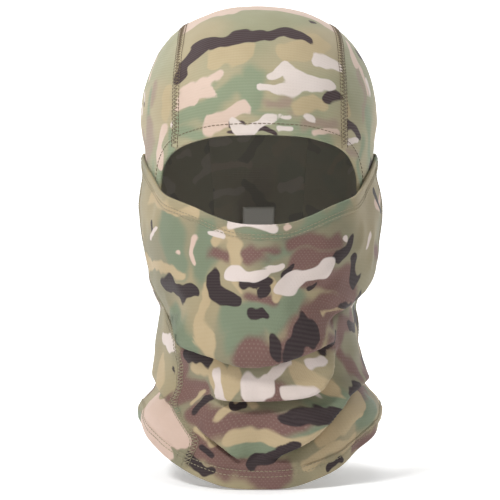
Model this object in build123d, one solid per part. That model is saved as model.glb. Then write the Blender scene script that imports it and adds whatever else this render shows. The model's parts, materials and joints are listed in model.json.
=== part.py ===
from build123d import *
import math
import os

# Pull-over camouflage face mask: a head-hugging hood with a wide eye opening, sewn at the
# nape into a loose collar whose front rises over the nose as a face cover.
# Millimetres. +Z is up, the wearer looks along -Y, and the wearer's right is at -X.
# The origin is the middle of the head at eye height, where the head sits inside the hood.

# ---- driving dimensions -------------------------------------------------------------
CLOTH = 1.2                 # thickness of one layer of knit, with its loft
HEM_PROUD = 0.7             # how far a turned hem stands out of the single layer
THREAD_PROUD = 0.5          # how far a row of stitching stands out of the cloth
SECTION_POWER = 2.25        # roundness of the horizontal sections, 2 is an ellipse
SECTION_POINTS = 28

DOME_BASE_Z = 40.0          # the level above which the hood closes over the head
DOME_HEIGHT = 77.5
DOME_HALF_WIDTH = 76.0
DOME_HALF_DEPTH = 97.0
DOME_POWER = 2.4            # the crown is a little squarer than an ellipse
DOME_LEVELS = (0.0, 0.28, 0.52, 0.72, 0.87, 0.955, 0.985)
DOME_LEAN = 4.0             # how far the top of the head lies behind its middle

CROWN_HALF_WIDTH = (50.0, 48.0, 31.0)   # middle panel at the brow, the top and the nape
SEAM_HALF_WIDTH = 2.6       # half the width of a flatlock seam
OPENING_HEM_WIDTH = 8.0     # hem round the eye opening
COVER_HEM_WIDTH = 9.5       # hem of the face cover and of the collar's top edge
BOTTOM_HEM_WIDTH = 13.0

# Levels of each layer's outer face: (z, half width, front y, back y).
HOOD_LEVELS = (
    (-100.0, 52.0, -76.0, 68.0),
    (-45.0, 66.6, -88.0, 81.0),
    (-15.0, 72.0, -92.0, 88.0),
    (18.0, 73.9, -95.0, 94.5),
)
COLLAR_LEVELS = (
    (44.0, 78.0, -100.0, 105.5),
    (20.0, 77.0, -101.5, 103.0),
    (0.0, 78.4, -104.5, 99.5),
    (-14.0, 79.6, -106.0, 96.0),
    (-40.0, 76.8, -106.5, 88.5),
    (-60.0, 70.2, -104.0, 84.5),
    (-78.0, 64.2, -100.0, 81.5),
    (-98.0, 65.8, -95.0, 79.5),
    (-120.0, 68.8, -84.5, 80.0),
    (-144.0, 78.8, -82.5, 85.5),
    (-164.0, 75.0, -86.5, 86.3),
    (-184.0, 70.0, -88.0, 84.0),
    (-204.0, 64.0, -88.5, 81.0),
    (-224.0, 60.0, -88.5, 79.0),
)

# Outlines seen from the side, as (y, z), from the face to the nape.
COVER_EDGE = ((-150, -42), (-107, -27), (-94, -20), (-66, -5), (-28, 14),
              (2, 21), (34, 16), (64, -9), (80, -33), (90, -50), (140, -58))
HOOD_EDGE = ((-150, -68), (-107, -60), (-66, -50), (-28, -38), (2, -31),
             (34, -30), (64, -40), (84, -55), (140, -66))
BOTTOM_EDGE = ((-150, -197), (-88, -185), (-57, -168), (-24, -154), (6, -149),
               (44, -153), (86, -163), (150, -176))
# Right half of the face opening seen from the front, as (x, z), from the brow down.
FACE_OPENING = ((0, 33.5), (26, 31), (46, 24), (58, 12), (63, -8))
# Front panel of the collar, which sits turned on the neck: (z, left edge, right edge),
# in degrees round the neck from the middle of the face.
FRONT_PANEL = ((60, -84, 84), (-42, -82, 82), (-68, -76, 85), (-88, -56, 90), (-100, -46, 94),
               (-136, -44, 103), (-160, -34, 109), (-210, -40, 115))
SEAM_HALF_ANGLE = 2.0       # half a side seam's width, in degrees round the neck

FAR = 260.0                 # reach of a cutting shape, well outside the mask
NAPE = (89.5, -45.0)        # y and z of the line where hood and collar meet and turn
NAPE_CLEAR = 3.4            # cloth is kept this far from that line, so that it can turn
LABEL = (22.0, 0.6, 34.0)   # width, thickness and height of the blank care label
LABEL_GAP = 1.3             # from the label to the middle of the cloth behind it
SLIVER = 2.0                # a smaller solid, in cubic millimetres, is scrap from a cut


# ---- shapes that the panels are cut from ----------------------------------------------
def ring(z, half_width, front, back, grow=0.0):
    """A closed horizontal section of the head or neck, grown outwards by grow."""
    middle = (front + back) / 2
    half_depth = (back - front) / 2 + grow
    half_width = half_width + grow
    points = []
    for step in range(SECTION_POINTS):
        turn = 2 * math.pi * step / SECTION_POINTS
        across, along = math.sin(turn), -math.cos(turn)
        x = math.copysign(abs(across) ** (2 / SECTION_POWER), across) * half_width
        y = math.copysign(abs(along) ** (2 / SECTION_POWER), along) * half_depth
        points.append((x, middle + y, z))
    return Wire([Edge.make_spline(points, periodic=True)])


def head(grow=0.0):
    """The solid whose skin is the outside of the hood, grown by grow."""
    height = DOME_HEIGHT + grow
    rings = [ring(*level, grow) for level in HOOD_LEVELS]
    for share in DOME_LEVELS:
        size = (1 - share ** DOME_POWER) ** (1 / DOME_POWER)
        middle = DOME_LEAN * share
        depth = (DOME_HALF_DEPTH + grow) * size
        width = (DOME_HALF_WIDTH + grow) * size
        rings.append(ring(DOME_BASE_Z + height * share, width, middle - depth, middle + depth))
    return Solid.make_loft(rings)


def neck(grow=0.0):
    """The solid whose skin is the outside of the collar, grown by grow."""
    return Solid.make_loft([ring(*level, grow) for level in reversed(COLLAR_LEVELS)])


def below(curve, drop=0.0):
    """Everything below a curve drawn in the side view, lowered by drop."""
    line = Spline([(y, z - drop) for y, z in curve])
    first, last = line @ 0, line @ 1
    box = Polyline([last, (last.X, -FAR), (first.X, -FAR), first])
    side = Plane(origin=(0, 0, 0), x_dir=(0, 1, 0), z_dir=(1, 0, 0))
    return extrude(side * make_face(line + box), FAR, both=True)


def front_wedge(margin=0.0):
    """The turned wedge that holds the collar's front panel, widened by margin degrees."""
    levels = []
    for z, left, right in FRONT_PANEL:
        first, span = left - margin, right - left + 2 * margin
        corners = [(0, 10, z)]
        for step in range(6):
            turn = math.radians(first + span * step / 5)
            corners.append((FAR * math.sin(turn), 10 - FAR * math.cos(turn), z))
        levels.append(Wire.make_polygon(corners, close=True))
    return Solid.make_loft(levels, ruled=True)


def face_hole(margin=0.0):
    """The hood's face opening as a prism along Y, widened by margin, open at the bottom."""
    width, brow, foot = FACE_OPENING[-1][0], FACE_OPENING[0][1], FACE_OPENING[-1][1]
    right = [(x + margin * x / width, z + margin * (z - foot) / (brow - foot))
             for x, z in FACE_OPENING]
    left = [(-x, z) for x, z in right[:0:-1]]
    arch = Spline([*left, *right], tangents=[(0, 1), (0, -1)])
    legs = Polyline([arch @ 1, (width + margin, -FAR), (-width - margin, -FAR), arch @ 0])
    front = Plane(origin=(0, 0, 0), x_dir=(1, 0, 0), z_dir=(0, -1, 0))
    return extrude(front * make_face(arch + legs), FAR)


def crown_strip(margin=0.0):
    """The strip over the head between the two crown seams, as a prism along Z."""
    brow, top, nape = (half + margin for half in CROWN_HALF_WIDTH)
    edge = Spline([(brow, -130), (brow, -90), (top, 0), (nape, 88), (nape - 2, 130)])
    back = Line((nape - 2, 130), (2 - nape, 130))
    front = Line((-brow, -130), (brow, -130))
    return extrude(make_face(edge + back + mirror(edge, about=Plane.YZ) + front), FAR, both=True)


def save(name, shape):
    """Writes one node to its STEP file, without the slivers that a cut can leave."""
    solids = [solid for solid in shape.solids() if solid.volume > SLIVER]
    node = Compound(children=solids, label=name)
    export_step(node, f"parts/{name}.step")


LEFT_HALF = Pos(FAR / 2, 0, 0) * Box(FAR, 2 * FAR, 2 * FAR)
NAPE_LINE = Pos(0, *NAPE) * Rot(0, 90, 0) * Cylinder(NAPE_CLEAR, 2 * FAR)


# ---- hood --------------------------------------------------------------------------
def make_hood():
    """Crown and side panels, the hem round the face opening, the seams and the label."""
    outside, inside = head(), head(-CLOTH)
    tucked, trimmed, strip = below(HOOD_EDGE), face_hole(OPENING_HEM_WIDTH), crown_strip()
    panels = outside - tucked - NAPE_LINE - trimmed
    sides = panels - strip - inside
    save("crown_panel", (panels & strip) - inside)
    save("hood_side_right", sides - LEFT_HALF)
    save("hood_side_left", sides & LEFT_HALF)

    hem = (head(HEM_PROUD) - tucked) & (trimmed - face_hole())
    save("face_opening_hem", hem - inside)

    seam_strip = crown_strip(SEAM_HALF_WIDTH) - crown_strip(-SEAM_HALF_WIDTH)
    seams = ((head(THREAD_PROUD) - tucked - NAPE_LINE - trimmed) & seam_strip) - outside
    save("crown_seam_right", seams - LEFT_HALF)
    save("crown_seam_left", seams & LEFT_HALF)

    thick, tall = LABEL[1:]
    inner_back = HOOD_LEVELS[1][3] - CLOTH
    save("care_label", Pos(0, inner_back - LABEL_GAP - thick / 2, NAPE[1] + tall / 2) * Box(*LABEL))


# ---- collar ------------------------------------------------------------------------
def make_collar():
    """Front panel with the face cover's hem, back panel, bottom hem and side seams."""
    outside, inside, proud = neck(), neck(-CLOTH), neck(HEM_PROUD)
    edge, bottom = below(COVER_EDGE), below(BOTTOM_EDGE)
    body_top = below(COVER_EDGE, COVER_HEM_WIDTH)
    body_bottom = below(BOTTOM_EDGE, -BOTTOM_HEM_WIDTH)
    wedge = front_wedge()

    body = (outside & body_top) - body_bottom
    save("front_panel", (body & wedge) - inside)
    save("back_panel", (body - wedge) - inside)

    top_band = (proud & edge) - body_top - NAPE_LINE
    save("face_hem", (top_band & wedge) - inside)
    save("nape_hem", (top_band - wedge) - inside)
    save("bottom_hem", ((proud & body_bottom) - bottom) - inside)

    seam_strip = front_wedge(SEAM_HALF_ANGLE) - front_wedge(-SEAM_HALF_ANGLE)
    seams = ((neck(THREAD_PROUD) & body_top & seam_strip) - body_bottom) - outside
    save("side_seam_right", seams - LEFT_HALF)
    save("side_seam_left", seams & LEFT_HALF)


if __name__ == "__main__":
    os.makedirs("parts", exist_ok=True)
    make_hood()
    make_collar()
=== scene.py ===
import json
import math

import bmesh
import bpy
import numpy as np
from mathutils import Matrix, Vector

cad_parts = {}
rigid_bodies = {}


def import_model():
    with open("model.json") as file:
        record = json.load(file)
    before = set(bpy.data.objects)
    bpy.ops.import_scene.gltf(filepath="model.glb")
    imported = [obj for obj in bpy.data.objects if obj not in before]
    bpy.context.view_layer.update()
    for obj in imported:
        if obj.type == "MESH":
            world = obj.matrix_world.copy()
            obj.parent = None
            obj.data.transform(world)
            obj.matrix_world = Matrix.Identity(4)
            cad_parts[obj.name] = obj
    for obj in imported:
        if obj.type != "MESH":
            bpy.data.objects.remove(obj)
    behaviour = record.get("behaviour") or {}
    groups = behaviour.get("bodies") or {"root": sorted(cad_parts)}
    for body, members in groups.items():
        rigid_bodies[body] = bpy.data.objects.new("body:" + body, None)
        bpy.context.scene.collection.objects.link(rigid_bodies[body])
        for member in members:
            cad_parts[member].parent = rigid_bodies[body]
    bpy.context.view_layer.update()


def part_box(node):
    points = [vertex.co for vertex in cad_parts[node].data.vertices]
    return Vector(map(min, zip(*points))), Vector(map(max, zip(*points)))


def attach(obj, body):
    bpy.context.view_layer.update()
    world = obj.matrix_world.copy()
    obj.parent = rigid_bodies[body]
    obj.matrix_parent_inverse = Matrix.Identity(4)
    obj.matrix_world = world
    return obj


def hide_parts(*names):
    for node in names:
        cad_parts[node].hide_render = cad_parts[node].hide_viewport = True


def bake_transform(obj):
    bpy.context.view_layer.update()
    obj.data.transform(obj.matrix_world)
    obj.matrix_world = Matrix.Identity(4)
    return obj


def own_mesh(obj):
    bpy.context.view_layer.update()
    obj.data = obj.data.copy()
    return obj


# A camouflage face mask of printed knit, shown as it hangs on a head that isn't there.
# Lengths are in millimetres until make_mesh turns them into metres. +Z is up, the wearer
# looks along -Y, and the origin is the middle of the head at eye height.

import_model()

MM = 0.001
KNIT = 0.9                  # thickness of one layer of knit
HEM = 1.9                   # thickness of a turned hem
BROW_HEM = 8.5              # width of the hem round the eye opening
COVER_HEM = 9.5             # width of the hem over the nose
BOTTOM_HEM = 12.0
SEAM = 5.0                  # width of a flatlock seam
SEAM_PITCH = 2.3            # from one zigzag of its thread to the next
THREAD = 0.22               # radius of the thread of a hem
HEM_PITCH = 2.6             # from one stitch of the collar's hems to the next
STITCH_LIFT = HEM / 2 * 0.72            # a hem's thread lies sunk into its skin
HEM_TURN = (22, 45, 68, 90, 112, 135, 158)      # degrees of the points round a hem's free edge
CROWN_SCALE = 1.62          # length of cloth over the crown for each degree of turn
CLING = 1.9                 # from the hood's middle to the collar's, where the collar clings to it


# ---- small mathematics -----------------------------------------------------------------
def smooth(x, low=0.0, high=1.0):
    """0 below low, 1 above high, and an even S between them."""
    t = np.clip((x - low) / (high - low), 0, 1)
    return t * t * (3 - 2 * t)


def curve(points):
    """A smooth function through (x, y) points that doesn't overshoot between them."""
    x, y = (np.array(c, float) for c in zip(*points))
    step = np.diff(y) / np.diff(x)
    slope = np.zeros_like(x)
    both = step[1:] * step[:-1] > 0
    slope[1:-1][both] = (2 * step[1:] * step[:-1] / (step[1:] + step[:-1] + 1e-12))[both]
    slope[0], slope[-1] = step[0], step[-1]

    def at(q):
        q = np.clip(q, x[0], x[-1])
        i = np.clip(np.searchsorted(x, q) - 1, 0, len(x) - 2)
        w = x[i + 1] - x[i]
        t = (q - x[i]) / w
        a, b = slope[i] * w, slope[i + 1] * w
        rise = y[i + 1] - y[i]
        return y[i] + t * (a + t * (3 * rise - 2 * a - b + t * (a + b - 2 * rise)))
    return at


def waves(p, size, seed):
    """Smooth seeded noise of about -1 to 1, whose bumps are about size across."""
    rng = np.random.default_rng(seed)
    total = np.zeros(p.shape[:-1])
    for _ in range(14):
        way = rng.normal(size=p.shape[-1])
        way *= rng.uniform(0.6, 1.5) / np.linalg.norm(way)
        total += np.sin(p @ way * 2 * math.pi / (2 * size) + rng.uniform(0, 6.28))
    return total / math.sqrt(14)


def unit(v):
    return v / np.maximum(np.linalg.norm(v, axis=-1, keepdims=True), 1e-12)


def lengths(points):
    """Length from the first point to each point along a line."""
    return np.concatenate([[0], np.cumsum(np.linalg.norm(np.diff(points, axis=0), axis=1))])


def resample(points, step):
    """The same line with evenly spaced points, about step apart."""
    run = lengths(points)
    new = np.linspace(0, run[-1], max(2, int(round(run[-1] / step)) + 1))
    return np.stack([np.interp(new, run, c) for c in points.T], axis=1)


def spline(points, step=1.0):
    """A smooth line through a few points, evenly spaced."""
    p = np.array(points, float)
    p = np.vstack([2 * p[0] - p[1], p, 2 * p[-1] - p[-2]])
    out = []
    for a, b, c, d in zip(p, p[1:], p[2:], p[3:]):
        t = np.linspace(0, 1, 24, endpoint=False)[:, None]
        out.append(0.5 * (2 * b + (c - a) * t + (2 * a - 5 * b + 4 * c - d) * t ** 2
                          + (3 * b - a - 3 * c + d) * t ** 3))
    out.append(p[-2:-1])
    return resample(np.vstack(out), step)


# ---- the head that shapes the hood -------------------------------------------------------
POWER = 2.25                # roundness of the level sections, 2 is an ellipse
DOME_Z, DOME_RISE, DOME_POWER = 40.0, 75.6, 2.3
DOME_LEAN = 4.0             # how far the top of the head lies behind its middle
HEAD_CENTRE = np.array([0.0, 2.0, 20.0])
EYE = np.array([-5.9, -1150.0, -41.0])      # where the mask is looked at from
HEAD_LEVELS = ((-110, 49, -74, 66), (-45, 67, -87, 81.5), (-15, 72, -91.5, 87.5),
               (18, 72.9, -94.5, 94), (40, 75.6, -96, 96))
head_width = curve([(z, w) for z, w, f, b in HEAD_LEVELS])
head_front = curve([(z, f) for z, w, f, b in HEAD_LEVELS])
head_back = curve([(z, b) for z, w, f, b in HEAD_LEVELS])


def head_value(p):
    """Below 1 inside the head and above 1 outside it."""
    x, y, z = p[..., 0], p[..., 1], p[..., 2]
    rise = np.clip((z - DOME_Z) / DOME_RISE, 0, None)
    front, back = head_front(z), head_back(z)
    middle = (front + back) / 2 + DOME_LEAN * rise
    level = (np.abs(x) / head_width(z)) ** POWER + (np.abs(y - middle) / ((back - front) / 2)) ** POWER
    return (level ** (DOME_POWER / POWER) + rise ** DOME_POWER) ** (1 / DOME_POWER)


def reach(start, way):
    """Where rays from inside the head leave it."""
    low = np.zeros(way.shape[:-1])
    high = np.full(way.shape[:-1], 230.0)
    for _ in range(36):
        middle = (low + high) / 2
        inside = head_value(start + way * middle[..., None]) < 1
        low, high = np.where(inside, middle, low), np.where(inside, high, middle)
    return start + way * low[..., None]


def head_normal(p):
    """The outward normal of the head at points on it."""
    out = np.empty_like(p)
    for axis in range(3):
        nudge = np.zeros(3)
        nudge[axis] = 0.5
        out[..., axis] = head_value(p + nudge) - head_value(p - nudge)
    return unit(out)


def on_head(p):
    """Points near the head moved onto it, along lines from its centre."""
    return reach(HEAD_CENTRE, unit(p - HEAD_CENTRE))


def from_front(x, z):
    """Points on the face side of the head that the eye sees before x, z of the plane y = 0."""
    start = np.stack([x, np.zeros_like(x), z], axis=-1).astype(float)
    return reach(start, unit(EYE - start))


def from_side(y, z, side):
    """Points on one side of the head, seen from that side at y, z."""
    start = np.stack([np.zeros_like(y), y, z], axis=-1)
    return reach(start, np.broadcast_to([float(side), 0.0, 0.0], start.shape))


def across(a, b, t):
    """Points on the head between a and b, with t from 0 to 1 along the last axis."""
    t = t[..., None]
    return on_head(unit(a - HEAD_CENTRE) * (1 - t) * 90 + unit(b - HEAD_CENTRE) * t * 90 + HEAD_CENTRE)


# ---- meshes ------------------------------------------------------------------------------
def make_mesh(name, points, faces, values=None, thickness=0.0):
    """A mesh object from millimetre points, with one float attribute for each of values."""
    mesh = bpy.data.meshes.new(name)
    mesh.from_pydata([], [], [])
    points = np.asarray(points, float).reshape(-1, 3)
    faces = np.asarray(faces, np.int32)
    mesh.vertices.add(len(points))
    mesh.vertices.foreach_set("co", (points * MM).astype(np.float32).ravel())
    mesh.loops.add(faces.size)
    mesh.loops.foreach_set("vertex_index", faces.ravel())
    mesh.polygons.add(len(faces))
    mesh.polygons.foreach_set("loop_start", np.arange(len(faces), dtype=np.int32) * faces.shape[1])
    mesh.update(calc_edges=True)
    mesh.validate()
    for key, value in (values or {}).items():
        kind, field = ("FLOAT_VECTOR", "vector") if key == "weave" else ("FLOAT", "value")
        layer = mesh.attributes.new(key, kind, "POINT")
        layer.data.foreach_set(field, np.asarray(value, np.float32).ravel())
    mesh.polygons.foreach_set("use_smooth", [True] * len(mesh.polygons))
    piece = bpy.data.objects.new(name, mesh)
    bpy.context.scene.collection.objects.link(piece)
    if thickness:
        shell = piece.modifiers.new("thickness", "SOLIDIFY")
        shell.thickness = thickness * MM
        shell.offset = 0
        shell.use_even_offset = False
        shell.material_offset = 1
        shell.material_offset_rim = 0
    return piece


def grid_faces(rows, columns, loop=False):
    """Quads of a grid of points. With loop, the last column joins the first."""
    r = np.arange(rows - 1)[:, None]
    c = np.arange(columns if loop else columns - 1)[None, :]
    n = (c + 1) % columns
    quads = np.stack([r * columns + c, r * columns + n, (r + 1) * columns + n, (r + 1) * columns + c],
                     axis=-1)
    return quads.reshape(-1, 4)


def grid_normals(p):
    """Normals of a grid of points, from its neighbours."""
    a, b = np.gradient(p, axis=0), np.gradient(p, axis=1)
    return unit(np.cross(a, b))


def uneven(p):
    """How far the stretched cloth of the hood stands off the head, in millimetres."""
    return 0.45 * waves(p, 30, 11) + 0.12 * waves(p, 8, 12)


# ---- the collar, whose front is the face cover ---------------------------------------------
COLLAR_WIDTH = curve([(-205, 64), (-175, 70), (-160, 75), (-152, 77.4), (-145, 78.4), (-138, 75.4),
                      (-130, 68.4), (-120, 64.2), (-110, 63.4), (-97, 64), (-86, 62.4), (-78, 61.4),
                      (-70, 64), (-60, 68), (-50, 71.2), (-40, 74), (-30, 75.8), (-20, 77),
                      (-10, 77.2), (-3, 77), (7, 75.2), (21, 74.4), (44, 75)])
# How far the middle of each level stands to the wearer's left.
COLLAR_SHIFT = curve([(-205, 0), (-180, 0), (-167, -0.4), (-150, 0.4), (-136, 1.6), (-126, 0.8),
                      (-118, -1.6), (-105, -2.2), (-95, -1.6), (-84, -0.6), (-73, -1.2), (-62, -1.6),
                      (-52, 0.2), (-40, 1.1), (-20, 1.1), (0, 0.6), (20, 0), (44, 0)])
COLLAR_FRONT = curve([(-205, -87), (-185, -87.5), (-165, -85), (-150, -82), (-135, -80), (-120, -83),
                      (-110, -88), (-100, -93), (-90, -96), (-75, -99.5), (-60, -103), (-45, -105.5),
                      (-27, -105.5), (-15, -103), (30, -98)])
COLLAR_BACK = curve([(-205, 80), (-180, 83), (-160, 86), (-148, 86), (-140, 83), (-128, 80), (-107, 79),
                     (-86, 80.5), (-64, 84), (-42, 88), (-16, 93.5), (-2, 97), (30, 102)])
COVER_EDGE = curve([(-150, -38), (-107, -27), (-100, -21), (-90, -14), (-68, -5), (-35, 12), (-12, 20),
                    (6, 22), (34, 16), (64, -9), (80, -32), (90, -48), (120, -60)])
BOTTOM_EDGE = curve([(-120, -190), (-88, -185), (-79, -180), (-57, -168), (-41, -160), (-18, -152),
                     (4, -150), (44, -153), (86, -163), (110, -168)])
# Edges of the front panel, in degrees round the neck: the collar sits turned on the neck.
RIGHT_SEAM = curve([(-205, -46), (-181, -42), (-168, -34), (-157, -29), (-148, -34), (-138, -42),
                    (-126, -45), (-116, -45), (-97, -47), (-88, -56), (-80, -68), (-62, -80),
                    (-42, -84), (30, -85)])
LEFT_SEAM = curve([(-205, 114), (-164, 110), (-136, 104), (-106, 95), (-76, 88), (-42, 84), (30, 85)])

angles = np.linspace(-math.pi, math.pi, 2881)


def oval(angle, width, front, back):
    """x and y on a level section at an angle round it, 0 in front and positive to +X."""
    s, c = np.sin(angle), np.cos(angle)
    x = np.sign(s) * np.abs(s) ** (2 / POWER) * width
    y = (front + back) / 2 - np.sign(c) * np.abs(c) ** (2 / POWER) * (back - front) / 2
    return x, y


# Length round a typical level of the collar, from the middle of the front.
typical = np.stack(oval(angles, 71.0, -92.0, 84.0), axis=1)
girth = lengths(typical)
girth = girth - girth[len(girth) // 2]
HALF_GIRTH = girth[-1]


def to_girth(angle):
    turns = np.floor((angle + math.pi) / (2 * math.pi))
    return np.interp(angle - turns * 2 * math.pi, angles, girth) + turns * 2 * HALF_GIRTH


def to_angle(length):
    return np.interp((length + HALF_GIRTH) % (2 * HALF_GIRTH) - HALF_GIRTH, girth, angles)


def at_level(angle, z):
    """Points of the plain collar, before it is folded."""
    x, y = oval(angle, COLLAR_WIDTH(z), COLLAR_FRONT(z), COLLAR_BACK(z))
    return np.stack([x + COLLAR_SHIFT(z), y, z + 0 * x], axis=-1)


def edge_z(angle, edge):
    """Height of an edge that is drawn in the side view, at angles round the collar."""
    z = np.full(np.shape(angle), -60.0)
    for _ in range(12):
        z = 0.5 * z + 0.5 * edge(oval(angle, COLLAR_WIDTH(z), COLLAR_FRONT(z), COLLAR_BACK(z))[1])
    return z


def chart(x, z):
    """A point that the eye sees before x, z of the plane y = 0, as length round and height."""
    place = np.array([x, 0.0, z])
    for _ in range(7):
        beside, level = place[0] - float(COLLAR_SHIFT(place[2])), place[2]
        share = min(1.0, abs(beside) / float(COLLAR_WIDTH(level)))
        depth = float(COLLAR_FRONT(level)) * (1 - share ** POWER) ** (1 / POWER)
        place = np.array([x, 0.0, z]) + (EYE - [x, 0.0, z]) * (depth / EYE[1])
    return float(to_girth(math.copysign(math.asin(share ** (POWER / 2)), beside))), float(level)


class Fold:
    """A fold along a line seen from the front. The cloth to the left of the line's direction
    stands out by lift and laps over the cloth to the right by lap. run is how far the fold
    builds up, under is how sharply it drops, and ends is how much of the line it fades over."""

    def __init__(self, line, lift, lap, run=28.0, under=5.0, ends=(0.2, 0.2), sink=1.5):
        self.line = spline([chart(x, z) for x, z in line], 1.5)
        self.lift, self.lap, self.run, self.under, self.sink = lift, lap, run, under, sink
        s = np.linspace(0, 1, len(self.line))
        self.fade = smooth(s, 0, max(ends[0], 1e-3)) * smooth(1 - s, 0, max(ends[1], 1e-3))
        way = unit(np.gradient(self.line, axis=0))
        self.right = np.stack([way[:, 1], -way[:, 0]], axis=1)
        self.line = self.line - self.right * (0.85 * lap * self.fade)[:, None]

    def near(self, q):
        """Signed distance to the right of the line, its direction and strength there."""
        best = np.full(len(q), 1e9)
        index = np.zeros(len(q), int)
        for i, p in enumerate(self.line):
            d = (q[:, 0] - p[0]) ** 2 + (q[:, 1] - p[1]) ** 2
            closer = d < best
            best[closer], index[closer] = d[closer], i
        away = q - self.line[index]
        right = self.right[index]
        side = (away * right).sum(1)
        past = np.sqrt(np.maximum(best - side ** 2, 0))
        return side, right, self.fade[index] * np.exp(-(past / 9) ** 2)

    def move(self, q):
        """Shift along the cloth and lift off it at points of the chart."""
        e, right, strength = self.near(q)
        before = np.exp(-(np.minimum(e, 0) / (0.45 * self.run)) ** 2)
        after = 1 - smooth(e, 0, 1.35 * self.under)
        rise = np.where(e < 0, smooth(e, -self.run, 2.0), 1.0) * (1 - smooth(e, 0.0, self.under))
        hollow = np.exp(-((e - 1.3 * self.under) / self.under) ** 2)
        shift = (self.lap * strength * before * after)[:, None] * right
        return shift, strength * (self.lift * rise - self.sink * hollow)


FOLDS = [
    # chin: the face cover sags over the throat
    Fold([(-54, -93), (-49, -99), (-30, -107), (-12, -113.5), (4, -113), (24, -107), (40, -99), (50, -93)],
         7.6, 9.0, 24, 4.8, (0.15, 0.2), 5.0),
    # jaw, wearer's left: from the throat up to the cheek
    Fold([(36, -88), (46, -82), (55, -75), (64, -65), (70, -54)], 6.0, 8.0, 20, 4.8, (0.35, 0.25), 5.0),
    # throat
    Fold([(-34, -134), (-22, -136), (-4, -136.5), (12, -136), (28, -132), (37, -122), (45, -107), (52, -97)],
         8.0, 9.5, 18, 5.2, (0.18, 0.25), 6.0),
    # long fold that sweeps from the wearer's left side down to the middle of the chest
    Fold([(-3, -177), (14, -172), (31, -162), (45, -146), (57, -129), (67, -117), (72, -104)],
         9.0, 10.5, 24, 5.5, (0.2, 0.32), 6.5),
    # its lower twin on the wearer's right
    Fold([(-42, -153), (-27, -164), (-16, -173), (-6, -180)], 5.4, 6.4, 18, 4.8, (0.35, 0.3), 4.5),
    # back panel's lobe over the flared hem, wearer's right
    Fold([(-69, -113), (-64, -124), (-58, -135), (-50, -147)], 5.5, 7.5, 18, 4.5, (0.3, 0.3), 2.0),
]
# Soft ridges and hollows that don't lap over: line, height and half width.
RIDGES = [
    ([(-30, -143), (-16, -149), (-2, -151), (18, -148), (38, -141), (46, -136)], 2.2, 5),
    ([(-20, -158), (-4, -161), (14, -158), (34, -148)], 1.6, 5),
    ([(-24, -122), (-8, -127), (10, -127), (26, -121), (36, -111)], 1.4, 5),
    ([(68, -18), (66, -34), (60, -50)], 1.0, 4),
    ([(74, -24), (72, -40), (67, -56)], 1.2, 4),
    ([(-68, -6), (-67, -22), (-64, -34)], 0.9, 4),
    ([(-74, -20), (-72, -44), (-66, -66)], 1.2, 5),
    ([(52, -44), (30, -66), (4, -84), (-24, -94)], 0.9, 6),
    ([(58, -56), (40, -74), (18, -88)], 1.2, 5),
    ([(-58, -52), (-44, -74), (-30, -90)], 0.8, 6),
    ([(-62, -64), (-56, -80), (-48, -92)], 1.1, 4),
    ([(-66, -148), (-56, -158), (-44, -166)], 1.2, 5),
    ([(-72, -140), (-66, -152), (-56, -163)], 1.0, 4),
    ([(36, -172), (52, -158), (66, -146)], 1.3, 6),
    ([(20, -181), (40, -172), (60, -158)], 0.8, 4),
]


def ridge_lift(q, line, height, half):
    """Lift of one soft ridge at points of the chart."""
    way = spline([chart(x, z) for x, z in line], 3.0)
    best = np.full(len(q), 1e9)
    along = np.zeros(len(q))
    for i, p in enumerate(way):
        d = (q[:, 0] - p[0]) ** 2 + (q[:, 1] - p[1]) ** 2
        closer = d < best
        best[closer], along[closer] = d[closer], i / (len(way) - 1)
    return height * np.exp(-best / half ** 2) * smooth(along, 0, 0.3) * smooth(1 - along, 0, 0.3)


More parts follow.
